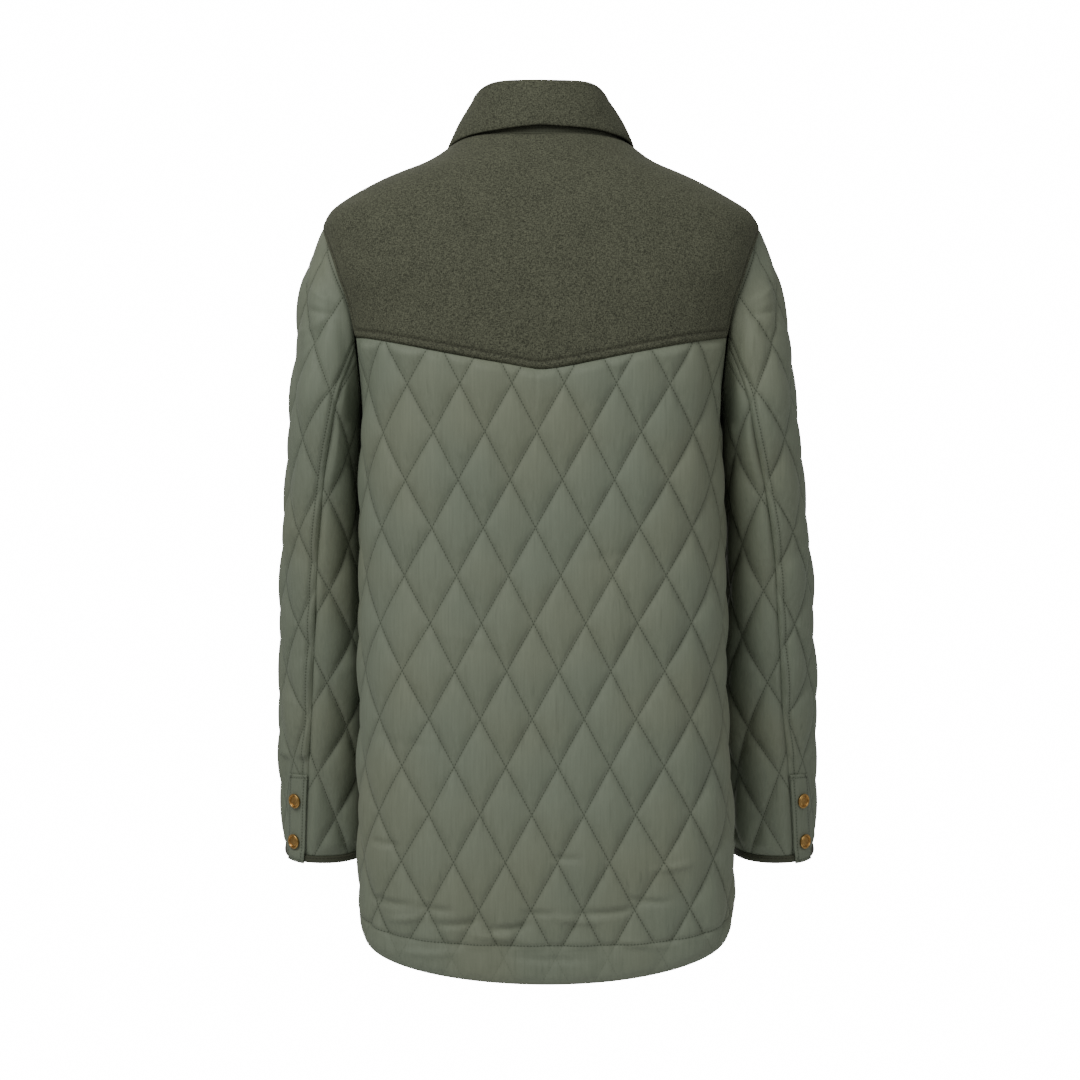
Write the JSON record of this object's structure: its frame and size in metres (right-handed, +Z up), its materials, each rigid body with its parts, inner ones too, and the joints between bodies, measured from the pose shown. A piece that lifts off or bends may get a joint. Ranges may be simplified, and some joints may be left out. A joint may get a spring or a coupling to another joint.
{
  "type": "quilted jacket",
  "caption": "Hollow filled-out jacket of diamond-quilted cloth with a woollen yoke and turned-down collar, a rounded longer back hem, two-piece sleeves with cuff tabs, and snaps.",
  "frame": {"origin": "middle of the neck opening, level with the collar seam at the back of the neck", "axes": "+Z up along the wearer's height, -Y the way the wearer faces, +X the wearer's left"},
  "size_m": [0.55, 0.2674, 0.8767],
  "materials": {
    "quilted_shell": "matte polyester taffeta, quilted in diamonds, sage olive",
    "wool": "felted melange wool, dark olive",
    "trim": "smooth tightly woven binding, dark olive",
    "snap": "antique brass, burnished on the rim"
  },
  "bodies": {
    "root": {"back": "quilted_shell", "front_left": "quilted_shell", "front_right": "quilted_shell", "front_placket": "quilted_shell", "sleeve_top_left": "quilted_shell", "sleeve_under_left": "quilted_shell", "cuff_tab_left": "quilted_shell", "sleeve_top_right": "quilted_shell", "sleeve_under_right": "quilted_shell", "cuff_tab_right": "quilted_shell", "yoke": "wool", "collar": "wool", "collar_stand": "trim", "cuff_binding_left": "trim", "cuff_binding_right": "trim", "front_snap_1": "snap", "front_snap_2": "snap", "front_snap_3": "snap", "front_snap_4": "snap", "front_snap_5": "snap", "front_snap_6": "snap", "cuff_snap_left_1": "snap", "cuff_snap_left_2": "snap", "cuff_snap_right_1": "snap", "cuff_snap_right_2": "snap"}
  },
  "joints": []
}
